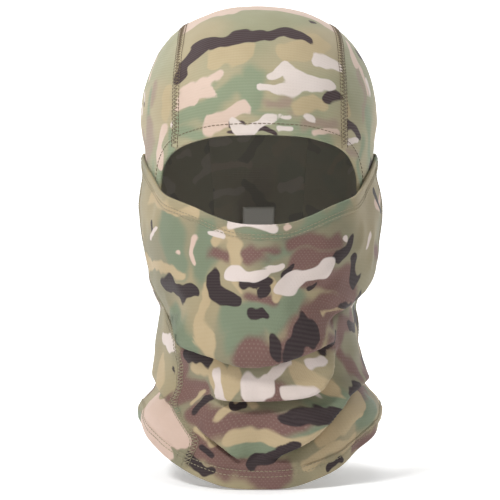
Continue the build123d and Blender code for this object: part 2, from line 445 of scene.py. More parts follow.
def collar_at(angle, z):
    """Points of the folded collar for angles and unfolded heights of the same shape."""
    shape = np.shape(angle)
    q = np.stack([to_girth(angle).ravel(), np.asarray(z, float).ravel()], axis=1)
    q[:, 0] = (q[:, 0] + HALF_GIRTH) % (2 * HALF_GIRTH) - HALF_GIRTH
    lift = np.zeros(len(q))
    moved = q.copy()
    front = np.abs(q[:, 0]) < 0.62 * HALF_GIRTH
    for fold in FOLDS:
        shift, rise = fold.move(q[front])
        moved[front] += shift
        lift[front] += rise
    for line, height, half in RIDGES:
        lift[front] += ridge_lift(q[front], line, height, half)
    a, level = moved[:, 0], moved[:, 1]
    # the nose and chin press the cloth out, and it bridges the hollows beside them
    lift += 3.2 * np.exp(-(a / 13) ** 2 - ((level + 36) / 17) ** 2)
    lift -= 1.6 * np.exp(-((np.abs(a) - 30) / 14) ** 2 - ((level + 46) / 20) ** 2)
    lift += 1.6 * np.exp(-(a / 22) ** 2 - ((level + 92) / 11) ** 2)
    # behind, the cloth hangs in a few loose rolls
    behind = smooth(np.abs(a), 0.45 * HALF_GIRTH, 0.7 * HALF_GIRTH)
    turn = a * math.pi / HALF_GIRTH
    wide = np.stack([np.cos(turn) * 80, np.sin(turn) * 80, level], axis=1)
    roll = np.sin((level - 12 * np.cos(turn)) * 2 * math.pi / 31 + waves(wide * 0.5, 40, 3))
    lift += behind * roll * 2.4 * smooth(-level, 50, 80) * smooth(level, -158, -135)
    loose = smooth(-level, 20, 110)
    lift += (0.35 + 0.75 * loose) * waves(wide, 24, 5) + 0.18 * waves(wide, 9, 6)
    turned = to_angle(a)
    point = at_level(turned, level)
    nudge = 0.004
    along = at_level(turned + nudge, level) - at_level(turned - nudge, level)
    down = at_level(turned, level - 0.5) - at_level(turned, level + 0.5)
    out = unit(np.cross(along, down))
    out *= np.sign((out[:, :2] * (point[:, :2] - [0, -5])).sum(1))[:, None]
    flat = unit(out * [1, 1, 0.35])
    point = point + flat * lift[:, None]
    # near its top edge, beside and behind the eye opening, the cloth clings to the hood
    clings = smooth(level - edge_z(turned, COVER_EDGE), -32, -3) * smooth(np.abs(turned), 0.75, 1.15)
    held = clings > 0
    way = unit((point[held] - [0, 2, 0]) * [1, 1, 0])
    start = np.stack([0 * way[:, 0], 0 * way[:, 0] + 2, point[held, 2]], axis=1)
    close = reach(start, way)
    close += way * (CLING + uneven(close))[:, None]
    point[held] += (close - point[held]) * clings[held, None]
    return point.reshape(*shape, 3)


# ---- hems, seams and stitches ----------------------------------------------------------------
def hem_shell(points, normals, thickness, stitch_rows=(), pitch=3.0):
    """The closed skin of a turned hem. Rows of points run from the hem's border to its
    free edge, and it sinks a little along each row of stitches."""
    half = thickness / 2
    from_border = lengths(points[:, points.shape[1] // 2])[:, None]
    along = lengths(points[0])
    height = half * (0.5 + 0.5 * smooth(from_border, 0, 0.9)) * np.ones(points.shape[:2])
    for row in stitch_rows:
        beat = 0.75 + 0.25 * np.cos(along * 2 * math.pi / pitch)
        height -= 0.36 * half * np.exp(-((from_border - row) / 0.9) ** 2) * beat
    height += 0.05 * np.sin(along * 2 * math.pi / 17.0 + 2 * np.sin(along / 23.0))
    out = unit(points[-1] - points[-2])
    edge, n = points[-1], normals[-1]
    turn = [edge + out * half * math.sin(a) + n * half * math.cos(a)
            for a in np.radians(HEM_TURN)]
    inside = (points - normals * half * 0.92)[::-1]
    skin = np.concatenate([points + normals * height[..., None], np.stack(turn), inside])
    return skin.transpose(1, 0, 2)


def end_rings(rows, columns):
    """Quads that close the two ends of a tube made of rings of an even number of points."""
    quads = []
    for base in (0, (rows - 1) * columns):
        for k in range(columns // 2 - 1):
            quads.append([base + k, base + k + 1, base + columns - 2 - k, base + columns - 1 - k])
    return np.array(quads)


def strands(starts, ends, normals, radius, bulge=0.3, dip=0.22):
    """Short arched threads from starts to ends, as points and quads."""
    sides = 6
    t = np.array([0, 0.12, 0.35, 0.65, 0.88, 1.0])[None, :, None]
    line = starts[:, None] * (1 - t) + ends[:, None] * t
    line = line + normals[:, None] * ((bulge + dip) * (1 - (2 * t - 1) ** 4) - dip)
    side = unit(np.cross(ends - starts, normals))
    up = unit(np.cross(side, ends - starts))
    turn = np.arange(sides) * 2 * math.pi / sides
    taper = np.array([0.55, 0.9, 1, 1, 0.9, 0.55])[None, :, None, None]
    ring = (np.cos(turn)[None, None, :, None] * side[:, None, None]
            + np.sin(turn)[None, None, :, None] * up[:, None, None]) * radius * taper
    points = line[:, :, None] + ring
    one = np.concatenate([grid_faces(6, sides, loop=True), end_rings(6, sides)])
    faces = (one[None] + (np.arange(len(starts)) * 6 * sides)[:, None, None]).reshape(-1, 4)
    return points.reshape(-1, 3), faces


def joined(parts):
    """Several (points, faces) as one."""
    starts = np.cumsum([0] + [len(p) for p, f in parts])
    return (np.concatenate([p for p, f in parts]),
            np.concatenate([f + start for (p, f), start in zip(parts, starts)]))


def at_lengths(q, line, data):
    """Values of data, one for each point of a line, at lengths q along it."""
    run = lengths(line)
    return np.stack([np.interp(q, run, c) for c in data.T], axis=1)


def running_stitch(line, normals, pitch=3.0, length=2.4, radius=0.24, lift=0.0):
    """A row of stitches along a line that lies on the cloth."""
    at = np.arange(pitch / 2, lengths(line)[-1] - pitch / 2, pitch)
    n = unit(at_lengths(at, line, normals))
    return strands(at_lengths(at - length / 2, line, line) + n * lift,
                   at_lengths(at + length / 2, line, line) + n * lift, n, radius)


def flatlock(bed, normals, pitch=SEAM_PITCH):
    """The threads over a flatlock seam: two edge rows and a zigzag between them."""
    line, n_line = bed[:, 4], normals[:, 4]
    way = unit(bed[:, 8] - bed[:, 0])
    half = SEAM / 2 - 0.3
    at = np.arange(pitch, lengths(line)[-1] - pitch, pitch)
    edges = {}
    for side in (-1, 1):
        for shift in (0, 0.5, 1):
            q = at + shift * pitch
            n = unit(at_lengths(q, line, n_line))
            place = at_lengths(q, line, line) + at_lengths(q, line, way) * half * side
            edges[side, shift] = place + n * 0.55, n
    parts = [strands(edges[-1, 0][0], edges[1, 0.5][0], edges[1, 0.5][1], 0.24, 0.36, 0.3),
             strands(edges[1, 0.5][0], edges[-1, 1][0], edges[1, 0.5][1], 0.24, 0.36, 0.3)]
    for side in (-1, 1):
        edge = line + way * (half + 0.55) * side
        parts.append(running_stitch(edge, n_line, pitch, pitch * 0.84, 0.22, 0.42))
    return joined(parts)


def seam_tape(bed, normals, height=0.55):
    """The slightly raised ridge of cloth under a flatlock seam, as rings of points."""
    rise = np.array([-0.25, 0.1, 0.62, 0.85, 0.78, 0.85, 0.62, 0.1, -0.25]) * height
    beat = 1 + 0.10 * np.sin(lengths(bed[:, 4]) * 2 * math.pi / SEAM_PITCH)
    top = bed + normals * (0.35 + rise * beat[:, None])[..., None]
    low = bed - normals * 0.25
    return np.concatenate([top, low[:, ::-1]], axis=1)


SHARES = np.array([-1.25, -1.0, -0.8, -0.4, 0, 0.4, 0.8, 1.0, 1.25])   # columns of a seam's bed


# ---- the printed camouflage ----------------------------------------------------------------
def stroke_distance(uv, strokes):
    """Distance in millimetres from points of the cloth to a layer's strokes, below 0 inside."""
    best = np.full(len(uv), 30.0)
    for line, radius in strokes:
        line = np.asarray(line, float)
        middle, size = line.mean(0), np.abs(line - line.mean(0)).max() + radius + 30
        near = (np.abs(uv - middle) < size).all(axis=1)
        q = uv[near]
        for a, b in zip(line, line[1:]):
            ab = b - a
            t = np.clip((q - a) @ ab / max(ab @ ab, 1e-9), 0, 1)
            d = np.linalg.norm(q - a - t[:, None] * ab, axis=1) - radius
            best[near] = np.minimum(best[near], d)
    return best


def scattered(seed, box, spacing, length, radius):
    """Strokes strewn evenly over a box of cloth, most of them along the wales."""
    rng = np.random.default_rng(seed)
    strokes = []
    for u in np.arange(box[0], box[2], spacing[0]):
        for v in np.arange(box[1], box[3], spacing[1]):
            rng.random()
            p = np.array([u, v]) + rng.uniform(-0.5, 0.5, 2) * spacing
            way = rng.normal(0, 0.3)
            line = [p]
            for _ in range(rng.integers(1, 4)):
                way += rng.normal(0, 0.45)
                p = p + np.array([math.cos(way), math.sin(way)]) * rng.uniform(*length)
                line.append(p)
            strokes.append((line, rng.uniform(*radius)))
    return strokes


def printed(u, v, layers, seed):
    """Attributes of the printed cloth: how far each point is inside each layer's shapes."""
    uv = np.stack([np.ravel(u), np.ravel(v)], axis=1)
    values = {"weave": np.concatenate([uv * MM, np.zeros((len(uv), 1))], axis=1)}
    for k, (layer, strokes) in enumerate(sorted(layers.items())):
        bend = np.stack([waves(uv, 13, seed + k), waves(uv, 13, seed + 50 + k)], axis=1) * 2.3
        bend += np.stack([waves(uv, 4.5, seed + 20 + k), waves(uv, 4.5, seed + 70 + k)], axis=1) * 0.55
        values[layer] = stroke_distance(uv + bend, strokes)
    values["warmth"] = waves(uv * [0.7, 1.0], 34, seed + 7)
    return values


# ---- patches of the hood ---------------------------------------------------------------------
RIM = [(0, 33.8), (25, 32.8), (38, 30.4), (50, 26.2), (58, 20), (62.6, 11), (64, 0), (64.4, -14),
       (64, -30), (62.5, -46)]
rim_front = spline([(-x, z) for x, z in RIM[:0:-1]] + RIM, 1.0)
rim = from_front(rim_front[:, 0], rim_front[:, 1])


def beside_rim(distance):
    """Lines on the head beside the rim of the eye opening, at distances out from it."""
    n = head_normal(rim)
    out = unit(np.cross(np.gradient(rim, axis=0), n))
    out *= np.sign(out[len(rim) // 2, 2])
    return on_head(rim[None] + out[None] * np.asarray(distance, float)[:, None, None])


CROWN_WIDTH = curve([(0, 51.0), (25, 50.5), (60, 48.5), (95, 46.5), (140, 40), (185, 33), (232, 29)])


def crown_point(turn, share):
    """Points of the crown at a turn in degrees up from the face and a share of its width."""
    start = np.stack([share * CROWN_WIDTH(turn), 2 + 0 * turn, 20 + 0 * turn], axis=-1)
    a = np.radians(turn)
    return reach(start, np.stack([0 * a, -np.cos(a), np.sin(a)], axis=-1))


def lie(points):
    """Points of the hood with the small unevenness of cloth that is stretched on a head."""
    return points + head_normal(points) * uneven(points)[..., None]


# ---- the print ---------------------------------------------------------------------------------
# Each stroke is its half width and then x and z of the points of its line, seen from the front.
HOOD_PRINT = {
    "dark": [(5.2, -50.5, 73, -48, 82, -38, 88), (4.6, -40, 89, -26, 94, -12, 97, 3, 99),
        (4.2, 2, 99, 17, 100, 24, 98, 31, 95), (2.4, -18, 43, -12, 43), (1.7, -19, 37, -17, 37),
        (2.1, -3, 35.5, 7, 35.5), (1.6, 34, 106, 38, 105.6), (2.2, 46, 54, 51, 62)],
    "cream": [(4.3, 10, 76, 17, 77, 21, 70, 36, 68, 44, 65), (2.8, 5, 63, 22, 63, 31, 67),
        (3.1, 38, 83, 50, 78), (4.2, -12, 37, -3, 42, 7, 42), (1.5, 13, 46, 18, 46),
        (1.8, 30, 45.5, 34, 45), (1.6, 15, 36, 22, 36)],
    "pink": [(2.4, -49, 63, -33, 68.5, -22, 71.5), (3.6, -49, 58, -30, 62.5), (3.0, -49, 53, -44, 55),
        (4.2, -34, 37, -22, 47, -10, 53), (4.2, -32, 42, -9, 51), (4.0, -32, 37, -20, 42),
        (2.2, 40, 36, 47, 37)],
    "green": [(6.5, -49, 45, -30, 53, -18, 63, -6, 64), (4.0, -50, 34, -40, 35), (1.8, -3, 47.5, 7, 47.5),
        (2.2, 13, 42, 26, 39), (8.0, -5, 58, -2, 72), (1.2, -37, 66.5, -28, 68), (3, 28, 34, 44, 32)],
    "brown": [(3.6, 31, 40, 47, 39), (3.2, 8, 55, 16, 57), (2.4, 22, 50, 30, 54)],
    "tan": [(7.0, 20, 88, 38, 92), (6.0, -30, 82, -8, 88), (5.0, 26, 54, 38, 52)],
}
SIDE_PRINT = {
    "dark": [(2.6, 55, 41, 61, 35, 64, 33), (1.9, -65.5, 76), (1.6, -73.5, 58, -74, 53), (1.4, -68, 94)],
    "cream": [(2.4, 57, 32, 62, 28), (2.2, 69, 70, 72, 58), (1.6, -56, 39, -54, 42)],
    "pink": [(3.4, -60, 38, -65, 26, -64, 15), (2.6, 62, 84, 70, 62), (2.2, -66, 84, -71, 70),
        (3.0, 58, 92, 62, 80)],
    "green": [(5.0, -56, 30, -58, 18, -66, 0), (4.0, -70, 60, -71, 36), (4.2, 70, 52, 71, 12),
        (3.4, 66, 30, 66, -6), (3.5, -69, 10, -66, -12)],
    "brown": [(2.2, 58, 26, 62, 18), (2.0, 64, 76, 68, 44), (3.0, -67, 66, -70, 56)],
    "tan": [(3.6, 54, 62, 58, 48), (3.8, -57, 64, -62, 44), (3.0, 68, 4, 69, -16)],
}
COLLAR_PRINT = {
    "green": [(9.0, -60, -24, -52, -48), (7.5, -36, -26, -38, -58), (8.0, -52, -85, -39, -94),
        (8.0, -18, -84, 6, -84, 23, -74), (6.0, -14, -94, -4, -92), (4.4, 18, -33, 34, -24, 56, -10),
        (3.2, 6, -46, 22, -42), (3.4, -6, -31, 12, -31), (6.5, -10, -170, 12, -166, 30, -158),
        (9.0, 70, -136, 68, -150), (5.0, 26, -138, 42, -128), (3.6, -61, -131, -55, -148),
        (4.0, -26, -12, -10, -22)],
    "brown": [(4.4, -31, -43, -22, -46), (5.4, -7, -41, -2, -46), (2.6, 2, -41, 11, -39.5),
        (5.0, 24, -37, 51, -34), (5.4, 24, -49, 46, -45), (7.0, 30, -58, 56, -60),
        (8.5, -6, -101, 12, -103, 32, -84, 56, -67), (7.0, 40, -100, 60, -84), (4.0, -6, -71, 6, -74),
        (6.0, -49, -112, -50, -132, -34, -132), (5.0, -4, -130, 12, -126),
        (6.5, -42, -148, -12, -152, 18, -150), (8.0, -40, -167, -17, -182, 14, -186),
        (4.4, 50, -104, 54, -116), (4.0, 64, -120, 58, -140), (4.0, 60, -172, 74, -158),
        (4.0, 72, -60, 74, -36)],
    "tan": [(3.2, -72, -8, -60, -12, -44, -18), (3.6, -72, -50, -62, -51, -49, -58),
        (3.8, -28, -35, -15, -36, -15, -48), (3.3, -35, -66, -34, -80, -30, -92, -21, -106),
        (2.8, 9, -64, 9, -72), (3.2, -68, -68, -64, -78), (1.0, 40, -80, 56, -66),
        (7.0, -40, -114, -21, -123, -16, -118), (6.0, 20, -118, 40, -124), (2.0, -45, -141, -35, -134),
        (3.2, -21, -143.5, -6, -143.5), (4.0, -12, -159, 16, -159, 37, -152, 50, -138),
        (3.4, -39, -162, -34, -164), (8.5, 45, -160, 56, -148, 60, -132), (3.4, 28, -180, 62, -164),
        (1.4, -14, -58, -13, -65), (4.0, 68, -98, 64, -112)],
    "pink": [(1.9, -43, -34, -43, -43, -39, -52), (1.6, -53, -43, -52.4, -43), (2.2, 12, -27, 16, -25)],
    "dark": [(2.9, 13, -56, 19, -53.5), (2.6, 33.5, -61.5, 35, -61), (4.4, 59, -34, 50, -47),
        (3.6, 60, -48, 62, -56), (4.4, -60, -61, -54, -67, -42, -69), (4.8, -30, -58.5, -28, -70, -15, -73),
        (3.6, -8, -62, 3, -62), (3.6, 3, -70, 5, -69), (3.3, -6.5, -83, 3.5, -82),
        (4.6, 28, -86, 20, -95, 19, -102), (3.8, 8, -95, 12, -95), (2.9, -1, -110, 2, -109),
        (3.2, -47, -108, -34, -112), (2.2, 50, -72, 58, -68, 66, -62), (4.0, 58, -92, 62, -84),
        (2.0, 36, -101, 48, -94), (3.8, 45, -124.5, 52, -123), (2.9, -41, -146, -28, -137.5),
        (2.6, -17, -139, -10, -139), (3.4, 14, -148, 26, -143, 38, -138),
        (3.5, -3, -182, 9, -170, 19, -164), (3.2, -46, -178, -33, -184), (2.6, -37, -169, -34, -171),
        (2.6, 73, -110, 74, -104), (2.0, -70, -24, -69, -30), (2.6, 44, -184, 52, -178)],
    "cream": [(2.4, -30, -27, -25, -29.5), (2.6, -17, -24.5, -9, -28, 2, -28, 9, -27),
        (4.4, -14, -55.5, -4, -58), (2.7, 2, -53.5, 13, -52), (4.3, 16, -66, 26, -60, 43, -54.5),
        (2.6, 55, -34.5, 55.5, -34.5), (2.9, -28, -123, -17, -131), (4.6, -6, -123, 3, -120),
        (2.8, 4, -119, 17, -113), (3.5, 12, -128, 26, -126), (2.1, 29, -112, 36, -107),
        (1.8, -66, -24, -69, -36), (1.8, 70, -36, 72, -30), (1.4, 60, -76, 68, -68)],
}
BACK_PRINT = {
    "pink": [(10.0, -76, -150, -60, -158, -44, -160), (7.0, -70, -140, -56, -150),
        (8, -78, -160, -60, -170)],
    "cream": [(4.4, -62, -100, -54, -102)],
    "dark": [(1.5, -54, -118.5, -53, -120), (1.9, -59, -87, -58, -89), (1.6, -54, -92)],
    "green": [(4.0, -66, -84, -66, -92), (3.6, -63, -128, -56, -146)],
    "brown": [(2.4, -52, -130, -50, -138)],
    "tan": [(4.4, -62, -112, -60, -124)],
}
LAYERS = ("green", "brown", "tan", "pink", "dark", "cream")
# How the rest of the cloth is strewn: spacing, length of a step and half width of its strokes.
STREWN = {
    "green": ((58, 46), (9, 20), (5, 9)),
    "brown": ((64, 52), (9, 20), (4, 8)),
    "tan": ((50, 40), (7, 15), (2.5, 5)),
    "pink": ((76, 60), (6, 12), (2, 4)),
    "dark": ((40, 32), (5, 11), (2.2, 4.2)),
    "cream": ((46, 38), (5, 11), (2.0, 4.0)),
}


def crown_chart(x, z):
    """A point of the crown seen from the front, as its place on the flat cloth."""
    p = from_front(np.array([float(x)]), np.array([float(z)]))[0]
    return float(p[0]), CROWN_SCALE * math.degrees(math.atan2(p[2] - 20, 2 - p[1]))


def side_chart(x, z):
    """A point of the hood's side seen from the front, as its place on the flat cloth."""
    u, v = side_places(from_front(np.array([float(x)]), np.array([float(z)])))
    return float(u[0]), float(v[0])


def side_places(p):
    """Places on the flat cloth of points of the hood's sides: length round and height."""
    level = np.clip(p[:, 2], -60, 108)
    start = np.stack([0 * level, 2 + 0 * level, level], axis=1)
    wide = reach(start, np.broadcast_to([1.0, 0.0, 0.0], start.shape))[:, 0]
    s = np.clip(np.abs(p[:, 0]) / np.maximum(wide, 1), 0, 1) ** (POWER / 2)
    angle = np.arctan2(s * np.sign(p[:, 0]), -np.sign(p[:, 1] - 2) * np.sqrt(1 - s ** 2))
    return to_girth(angle), p[:, 2]


def print_layers(drawn, to_cloth, seed, box, bare):
    """Strokes of each layer on the flat cloth: the drawn ones, and strewn ones outside bare."""
    layers = {}
    for k, layer in enumerate(LAYERS):
        strokes = [([to_cloth(x, z) for x, z in zip(line[::2], line[1::2])], r)
                   for r, *line in drawn.get(layer, [])]
        spacing, length, radius = STREWN[layer]
        for line, r in scattered(seed + k, box, spacing, length, radius):
            middle = np.mean(line, axis=0)
            if not bare(*middle):
                strokes.append((line, r))
        layers[layer] = strokes
    return layers


crown_layers = print_layers(HOOD_PRINT, crown_chart, 100, (-60, 0, 60, 420), lambda u, v: v < 150)
crown_layers["pink"].append(([(-44, 118), (0, 126), (44, 116)], 22.0))
side_layers = print_layers(SIDE_PRINT, side_chart, 200, (-230, -70, 230, 130), lambda u, v: abs(u) < 96)
front_layers = print_layers(COLLAR_PRINT, chart, 300, (-130, -210, 290, 30), lambda u, v: abs(u) < 92)


def back_chart(x, z):
    """A point of the back panel, whose cloth is measured on past the middle of the back."""
    u, v = chart(x, z)
    return u + 2 * HALF_GIRTH, v


back_layers = print_layers(BACK_PRINT, back_chart, 400, (90, -210, 500, 40),
                           lambda u, v: -125 < u - 2 * HALF_GIRTH < -30 and v < -80)


def on_crown(turn, share):
    return printed(share * CROWN_WIDTH(turn), CROWN_SCALE * turn, crown_layers, 1)


def on_side(points):
    u, v = side_places(points.reshape(-1, 3))
    return printed(u, v, side_layers, 2)


# ---- materials -------------------------------------------------------------------------------
def srgb(code):
    """A colour as Blender wants it, from its usual six digits."""
    parts = [int(code[i:i + 2], 16) / 255 for i in (0, 2, 4)]
    return tuple(c / 12.92 if c < 0.04045 else ((c + 0.055) / 1.055) ** 2.4 for c in parts) + (1.0,)


class Nodes:
    """Short names for making the nodes of one material."""

    def __init__(self, name):
        self.material = bpy.data.materials.new(name)
        self.material.use_nodes = True
        self.tree = self.material.node_tree
        self.shader = self.tree.nodes["Principled BSDF"]

    def link(self, a, b):
        self.tree.links.new(a, b)

    def put(self, socket, value):
        if isinstance(value, bpy.types.NodeSocket):
            self.link(value, socket)
        else:
            socket.default_value = value

    def attribute(self, name, vector=False):
        node = self.tree.nodes.new("ShaderNodeAttribute")
        node.attribute_name = name
        return node.outputs["Vector" if vector else "Fac"]

    def math(self, operation, *values):
        node = self.tree.nodes.new("ShaderNodeMath")
        node.operation = operation
        for socket, value in zip(node.inputs, values):
            self.put(socket, value)
        return node.outputs[0]

    def ramp(self, value, low, high, bottom=0.0, top=1.0):
        """value turned from low..high into bottom..top along an S."""
        node = self.tree.nodes.new("ShaderNodeMapRange")
        node.interpolation_type = "SMOOTHSTEP"
        for socket, number in zip(node.inputs, (value, low, high, bottom, top)):
            self.put(socket, number)
        return node.outputs[0]

    def mix(self, share, a, b, blend="MIX"):
        node = self.tree.nodes.new("ShaderNodeMix")
        node.data_type = "RGBA"
        node.blend_type = blend
        self.put(node.inputs[0], share)
        self.put(node.inputs[6], a)
        self.put(node.inputs[7], b)
        return node.outputs[2]

    def noise(self, scale, vector, detail=3.0):
        node = self.tree.nodes.new("ShaderNodeTexNoise")
        node.inputs["Scale"].default_value = scale
        node.inputs["Detail"].default_value = detail
        self.link(vector, node.inputs["Vector"])
        return node.outputs["Fac"]

    def bump(self, height, strength, distance):
        node = self.tree.nodes.new("ShaderNodeBump")
        node.inputs["Strength"].default_value = strength
        node.inputs["Distance"].default_value = distance
        self.link(height, node.inputs["Height"])
        self.link(node.outputs["Normal"], self.shader.inputs["Normal"])


# Colours of the print: the base's two tones and one for each layer.
HOOD_COLOURS = {"base": "AB9F81", "base_b": "99987B", "green": "869176", "brown": "9A8878", "tan": "B5A482",
                "pink": "D0B9AA", "dark": "3F3032", "cream": "D9CDC6"}
COLLAR_COLOURS = {"base": "9E9274", "base_b": "87826A", "green": "76816A", "brown": "735650", "tan": "B5A281",
                  "pink": "CDB4A6", "dark": "33282A", "cream": "D5C8C2"}
DOT_PITCH, ROW_PITCH = 2.3, 1.3     # of the knit's open dots, in millimetres
EDGE_SOFTNESS = {"green": 3.2, "brown": 2.6, "tan": 0.9, "pink": 0.7, "dark": 0.55, "cream": 0.55}


def eyelet_dots(n, u, v):
    """1 in the small open dots of the knit, which stand in staggered rows, and 0 between."""
    row = n.math("FLOOR", n.math("DIVIDE", v, ROW_PITCH * MM))
    along = n.math("FRACT", n.math("ADD", n.math("DIVIDE", u, DOT_PITCH * MM), n.math("MULTIPLY", row, 0.5)))
    over = n.math("FRACT", n.math("DIVIDE", v, ROW_PITCH * MM))
    du = n.math("MULTIPLY", n.math("SUBTRACT", along, 0.5), DOT_PITCH)
    dv = n.math("MULTIPLY", n.math("SUBTRACT", over, 0.5), ROW_PITCH)
    square = n.math("ADD", n.math("MULTIPLY", du, du), n.math("MULTIPLY", dv, dv))
    return n.ramp(n.math("SQRT", square), 0.48, 0.20)


def knit_material(name, colours, eyelets, ribbed, faded=0.0):
    """Printed knit. Eyelets and ribbed are how strongly its open dots and its ribs show."""
    n = Nodes(name)
    weave = n.attribute("weave", vector=True)
    split = n.tree.nodes.new("ShaderNodeSeparateXYZ")
    n.link(weave, split.inputs[0])
    u, v = split.outputs[0], split.outputs[1]
    grain = n.noise(900, weave, 2)
    cloudy = n.noise(34, weave, 3)
    colour = n.mix(n.ramp(n.attribute("warmth"), -0.7, 0.7), srgb(colours["base"]), srgb(colours["base_b"]))
    dot = eyelet_dots(n, u, v)
    for layer in LAYERS:
        soft = EDGE_SOFTNESS[layer]
        inside = n.ramp(n.attribute(layer), soft, -soft)
        colour = n.mix(inside, colour, srgb(colours[layer]))
        if layer == "brown" and eyelets:
            show = n.math("MULTIPLY", dot, n.math("MULTIPLY_ADD", inside, 0.20 * eyelets, 0.03 * eyelets))
            colour = n.mix(show, colour, srgb("BCAA9C"))
    # a faint unevenness of the dye
    colour = n.mix(n.ramp(cloudy, 0.3, 0.7, 0.0, 0.16), colour, srgb("C9BFA6"), "MULTIPLY")
    # rows of stitches of the knit
    rows = n.math("SINE", n.math("MULTIPLY", v, 2 * math.pi / (1.7 * MM)))
    wales = n.math("SINE", n.math("MULTIPLY", u, 2 * math.pi / (0.9 * MM)))
    ribs = n.math("MULTIPLY_ADD", rows, 0.5, 0.5)
    colour = n.mix(n.math("MULTIPLY", ribs, 0.18 * ribbed), colour, srgb("EEE6DA"))
    if faded:
        colour = n.mix(faded, colour, srgb("B9B6AE"))
    n.link(colour, n.shader.inputs["Base Color"])
    n.shader.inputs["Roughness"].default_value = 0.78
    n.shader.inputs["Sheen Weight"].default_value = 0.10
    n.shader.inputs["Sheen Roughness"].default_value = 0.5
    n.shader.inputs["Specular IOR Level"].default_value = 0.28
    height = n.math("ADD", n.math("MULTIPLY", rows, ribbed), n.math("MULTIPLY", wales, 0.16))
    height = n.math("ADD", height, n.math("MULTIPLY", dot, -0.9 * eyelets))
    height = n.math("ADD", height, n.math("MULTIPLY", grain, 0.5))
    n.bump(height, 0.28, 0.0004)
    return n.material


def plain_material(name, colour, roughness=0.8, grain=1500):
    """Thread or tape of one colour, with a little grain."""
    n = Nodes(name)
    place = n.tree.nodes.new("ShaderNodeTexCoord").outputs["Object"]
    n.shader.inputs["Base Color"].default_value = srgb(colour)
    n.shader.inputs["Roughness"].default_value = roughness
    n.shader.inputs["Sheen Weight"].default_value = 0.15
    n.bump(n.noise(grain, place), 0.3, 0.0002)
    return n.material


hood_knit = knit_material("hood_knit", HOOD_COLOURS, 0.12, 0.2)
hood_inside = knit_material("hood_knit_inside", HOOD_COLOURS, 0.0, 0.2, faded=0.72)
collar_knit = knit_material("collar_knit", COLLAR_COLOURS, 0.65, 0.08)
collar_inside = knit_material("collar_knit_inside", COLLAR_COLOURS, 0.2, 0.08, faded=0.72)
hood_thread = plain_material("hood_thread", "6B5C45")
collar_thread = plain_material("collar_thread", "958C72")
label_cloth = plain_material("label_tape", "E9E7E2", 0.6)


def on_the_neck(piece, slot, *nodes):
    """Collar cloth, which stays on the neck: its placement is baked into its mesh, and the parts it stands
    for are hidden.
    """
    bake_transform(piece)
    if nodes:
        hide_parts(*nodes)


def on_the_hood(piece, slot, *nodes):
    """Hood cloth: it is attached to the hood's body, so it turns back with the hood."""
    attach(piece, "hood")
    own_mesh(piece)
    if nodes:
        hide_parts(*nodes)


def shell_piece(name, points, values, outer, inner, thickness=KNIT):
    """A panel of knit from a grid of points on its middle."""
    piece = make_mesh(name, points, oriented(points), values, thickness)
    piece.data.materials.append(outer)
    piece.data.materials.append(inner)
    return piece


def oriented(points):
    """Quads of a grid, wound so that they face away from the inside of the mask."""
    faces = grid_faces(points.shape[0], points.shape[1])
    return faces if (grid_normals(points) * points * [1, 1, 0.3]).sum() < 0 else faces[:, ::-1]


def outward(points):
    """Normals of a grid of points, away from the inside of the mask."""
    n = grid_normals(points)
    return n if (n * points * [1, 1, 0.3]).sum() > 0 else -n


def tube_piece(name, rings, values, material):
    """A closed piece from rings of points, such as a hem or a seam."""
    faces = np.concatenate([grid_faces(rings.shape[0], rings.shape[1], loop=True),
                            end_rings(rings.shape[0], rings.shape[1] - rings.shape[1] % 2)])
    piece = make_mesh(name, rings, faces, values)
    bm = bmesh.new()
    bm.from_mesh(piece.data)
    bmesh.ops.recalc_face_normals(bm, faces=bm.faces)
    bm.to_mesh(piece.data)
    bm.free()
    piece.data.materials.append(material)
    return piece


def threads(name, parts, material):
    """One piece made of many short threads."""
    points, faces = joined(parts)
    piece = make_mesh(name, points, faces)
    piece.data.materials.append(material)
    return piece


# ---- the hood ----------------------------------------------------------------------------------
PANEL_START = 5.0           # the panels' edges lie inside the hem, this far from its free edge
crown_far = 228.0           # turn in degrees at which the crown ends, tucked into the collar

shares = np.linspace(-1, 1, 69)
near_rim = beside_rim([PANEL_START])[0]
order = np.argsort(near_rim[:, 0])
arch = near_rim[order]


def rim_turn(share):
    """Turn about the head's middle where the crown panel starts, at a share of its width."""
    turn = np.full(np.shape(share), 9.0)
    for _ in range(8):
        z = np.interp(share * CROWN_WIDTH(turn), arch[:, 0], arch[:, 2])
        y = np.interp(share * CROWN_WIDTH(turn), arch[:, 0], arch[:, 1])
        turn = np.degrees(np.arctan2(z - 20, 2 - y))
    return turn


first = rim_turn(shares)
steps = np.linspace(0, 1, 205)[:, None]
turn_grid = first[None] + (crown_far - first[None]) * steps
share_grid = np.broadcast_to(shares[None], turn_grid.shape)
crown = lie(crown_point(turn_grid, share_grid))
crown_piece = shell_piece("hood_crown_cloth", crown, on_crown(turn_grid, share_grid), hood_knit, hood_inside)

